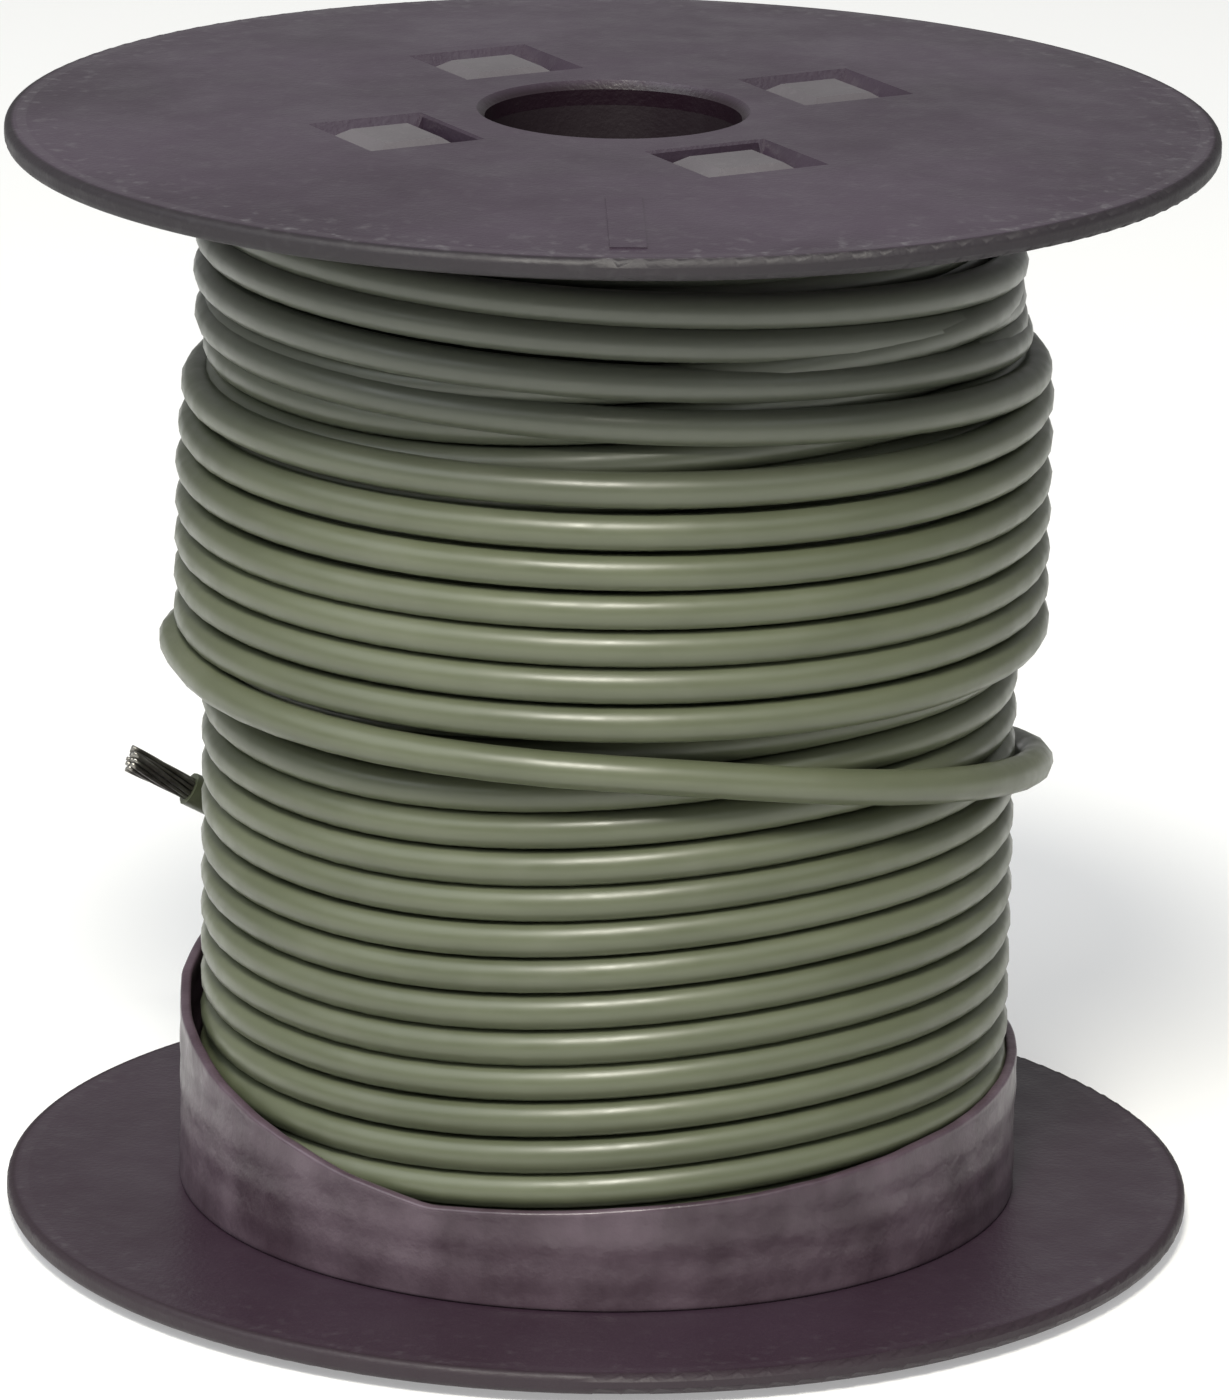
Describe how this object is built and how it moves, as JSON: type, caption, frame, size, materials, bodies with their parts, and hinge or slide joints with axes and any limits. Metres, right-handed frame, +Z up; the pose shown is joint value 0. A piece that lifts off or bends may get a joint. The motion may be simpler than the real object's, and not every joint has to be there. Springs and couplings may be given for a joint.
{
  "type": "wire spool",
  "caption": "Plastic spool with two round flanges on a latched hollow core, wound with insulated wire whose last turn ends in a bare cut end.",
  "frame": {"origin": "on the spool's axis, in the plane of the lower flange's outer hub face, which is the surface the spool stands on", "axes": "+Z up along the arbor bore; -Y is the front, where the wire's free turn crosses the winding; +X is to the right seen from the front"},
  "size_m": [0.09, 0.09, 0.0854],
  "materials": {
    "flange_plastic": "moulded, satin, dark grey with a purple cast",
    "core_plastic": "moulded, satin, dark grey",
    "band_plastic": "thin dark sleeve, semi-gloss, slightly uneven",
    "wire_insulation": "sage green flexible insulation, satin sheen",
    "conductor": "tinned copper strands, dulled"
  },
  "bodies": {
    "root": {"lower_flange": "flange_plastic", "upper_flange": "flange_plastic", "barrel": "core_plastic", "arbor_tube": "core_plastic", "core_web_1": "core_plastic", "core_web_2": "core_plastic", "core_web_3": "core_plastic", "core_web_4": "core_plastic", "lower_latch_1": "core_plastic", "lower_latch_2": "core_plastic", "lower_latch_3": "core_plastic", "lower_latch_4": "core_plastic", "upper_latch_1": "core_plastic", "upper_latch_2": "core_plastic", "upper_latch_3": "core_plastic", "upper_latch_4": "core_plastic", "retaining_band": "band_plastic", "wire_winding": "wire_insulation", "wire_free_end": "wire_insulation", "wire_conductor_end": "conductor"}
  },
  "joints": []
}
